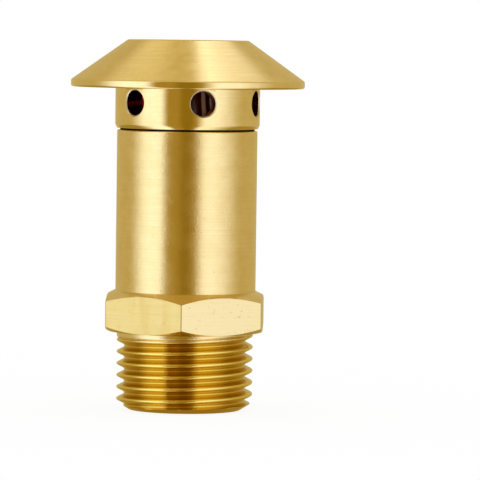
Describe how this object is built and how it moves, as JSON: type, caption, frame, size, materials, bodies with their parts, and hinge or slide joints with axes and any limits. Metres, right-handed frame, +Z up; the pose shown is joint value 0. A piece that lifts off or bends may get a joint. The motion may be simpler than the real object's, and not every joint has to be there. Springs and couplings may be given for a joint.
{
  "type": "air admittance valve",
  "caption": "Brass air admittance valve: threaded spigot, spanner hexagon and plain barrel under a vented cap ring and conical rain hat, with a spring-closed poppet inside.",
  "frame": {"origin": "centre of the open end of the threaded spigot, on which the valve stands", "axes": "+Z up the valve's axis to the rain hat, -Y to the front, where a corner of the hexagon points"},
  "size_m": [0.036, 0.036, 0.0568],
  "materials": {
    "valve_body_brass": "turned, satin",
    "vent_cap_brass": "turned, satin",
    "rain_hat_brass": "turned, satin",
    "inner_brass": "turned",
    "inner_steel": "satin",
    "nut_steel": "satin",
    "spring_steel": "drawn wire",
    "gasket_rubber": "matt",
    "seal_rubber": "matt",
    "bush_plastic": "matt",
    "spring_cap_plastic": "moulded"
  },
  "bodies": {
    "valve": {"valve_body": "valve_body_brass", "vent_cap": "vent_cap_brass", "rain_hat": "rain_hat_brass", "cap_gasket": "gasket_rubber", "guide_spider": "inner_brass", "guide_bush": "bush_plastic", "spider_circlip": "inner_steel", "spring_washer": "inner_steel", "spring": "spring_steel"},
    "poppet_assembly": {"stem": "inner_steel", "clamp_washer": "inner_steel", "seal_disc": "seal_rubber", "poppet": "inner_brass", "poppet_nut": "nut_steel", "spring_cap": "spring_cap_plastic", "lift_sleeve": "inner_brass", "adjusting_nut": "nut_steel", "lock_nut": "nut_steel"}
  },
  "joints": [
    {"name": "poppet_slide", "type": "slide", "parent": "valve", "child": "poppet_assembly", "axis": [0, 0, -1], "range_m": [0, 0.0024], "stiffness_N_per_m": 125, "springref_m": -0.0025, "deforming": ["spring"]}
  ]
}
